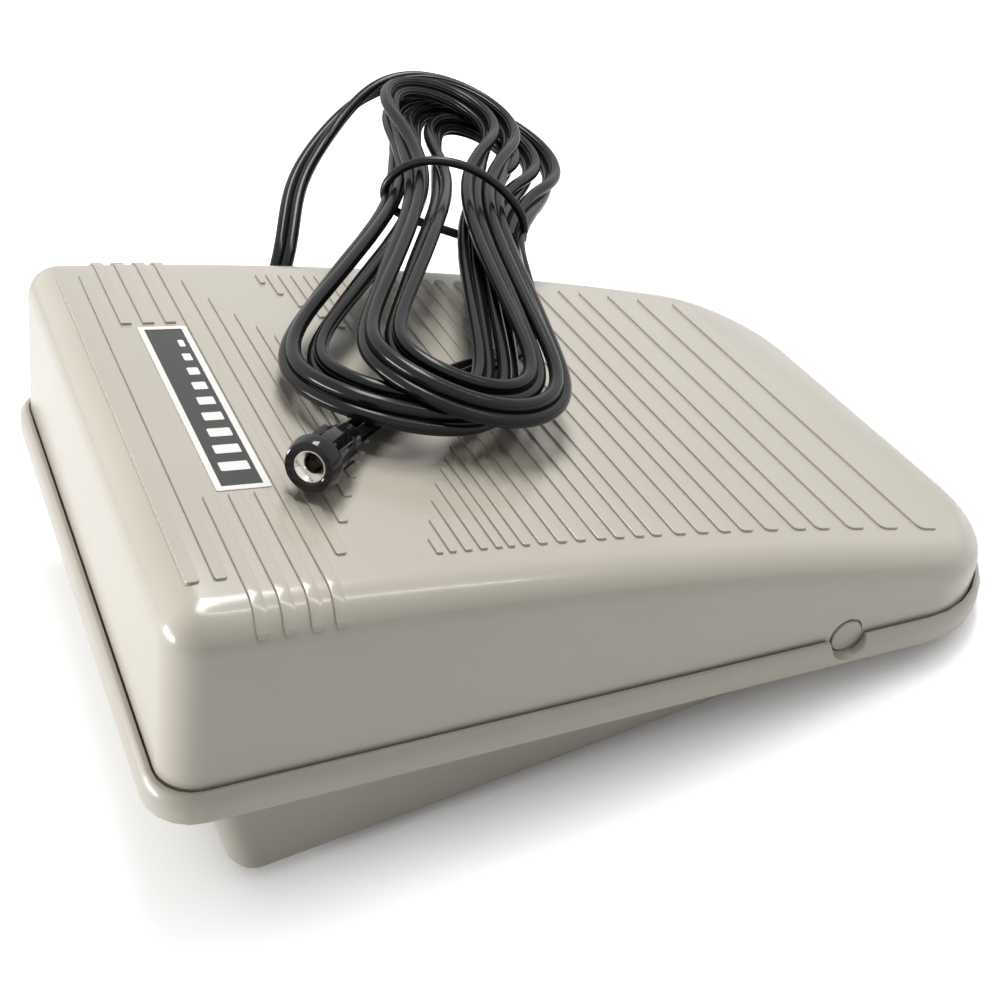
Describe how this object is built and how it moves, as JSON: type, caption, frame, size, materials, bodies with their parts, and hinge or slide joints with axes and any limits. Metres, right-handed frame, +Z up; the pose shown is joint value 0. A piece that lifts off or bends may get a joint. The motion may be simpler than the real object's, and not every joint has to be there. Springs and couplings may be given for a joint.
{
  "type": "sewing machine pedal",
  "caption": "Wedge-shaped treadle foot control with a ribbed rocking cover, return springs, a toothed sector that turns a potentiometer, and a tied low-voltage lead",
  "frame": {"origin": "middle of the pedal's footprint, on the floor under its rubber feet", "axes": "+Z up; +Y from the low heel end to the high toe end; +X to the side where the cord comes out"},
  "size_m": [0.1827, 0.2, 0.082],
  "materials": {
    "cover_plastic": "satin",
    "tray_plastic": "matte",
    "black_plastic": "satin",
    "orange_plastic": "satin",
    "green_plastic": "satin",
    "gear_plastic": "satin",
    "plate_film": "satin",
    "cord_pvc": "satin",
    "lead_pvc": "satin",
    "rubber": "matte",
    "board": "matte",
    "resistor_body": "satin",
    "steel": "brushed",
    "nickel": "polished",
    "aluminium": "brushed",
    "copper": "satin"
  },
  "bodies": {
    "base": {"base_tray": "tray_plastic", "rubber_feet": "rubber", "pivot_pins": "cover_plastic", "spring_left": "steel", "spring_right": "steel", "stop_buffers": "rubber", "circuit_board": "board", "board_screws": "steel", "heat_sink": "aluminium", "triac": "black_plastic", "film_capacitor": "orange_plastic", "choke_coil": "copper", "resistors": "resistor_body", "terminal_block": "green_plastic", "pot_bracket": "steel", "bracket_screws": "steel", "potentiometer": "black_plastic", "inner_leads": "lead_pvc", "cord_clamp": "tray_plastic", "clamp_screws": "steel", "strain_relief": "cord_pvc", "cord_tail": "cord_pvc", "cord_hank": "cord_pvc", "cord_end": "cord_pvc", "cord_tie": "cord_pvc", "plug_body": "black_plastic", "plug_collar": "black_plastic", "plug_contact": "nickel", "plug_insulator": "black_plastic"},
    "treadle": {"treadle_cover": "cover_plastic", "rim": "cover_plastic", "rim_screws": "steel", "plate": "plate_film", "drive_sector": "gear_plastic", "sector_screws": "steel"},
    "wiper": {"pot_spindle": "steel", "pinion": "gear_plastic"}
  },
  "joints": [
    {"name": "treadle_tilt", "type": "hinge", "parent": "base", "child": "treadle", "pos_m": [0, -0.044, 0.017], "axis": [1, 0, 0], "range_deg": [-5, 0], "stiffness_Nm_per_rad": 15, "springref_deg": 2.86, "deforming": ["spring_left", "spring_right"]},
    {"name": "wiper_spin", "type": "hinge", "parent": "base", "child": "wiper", "pos_m": [0, 0.0212, 0.017], "axis": [1, 0, 0], "range_deg": [0, 60]}
  ],
  "couplings": [
    {"joint": "wiper_spin", "follows": "treadle_tilt", "ratio": -12}
  ]
}
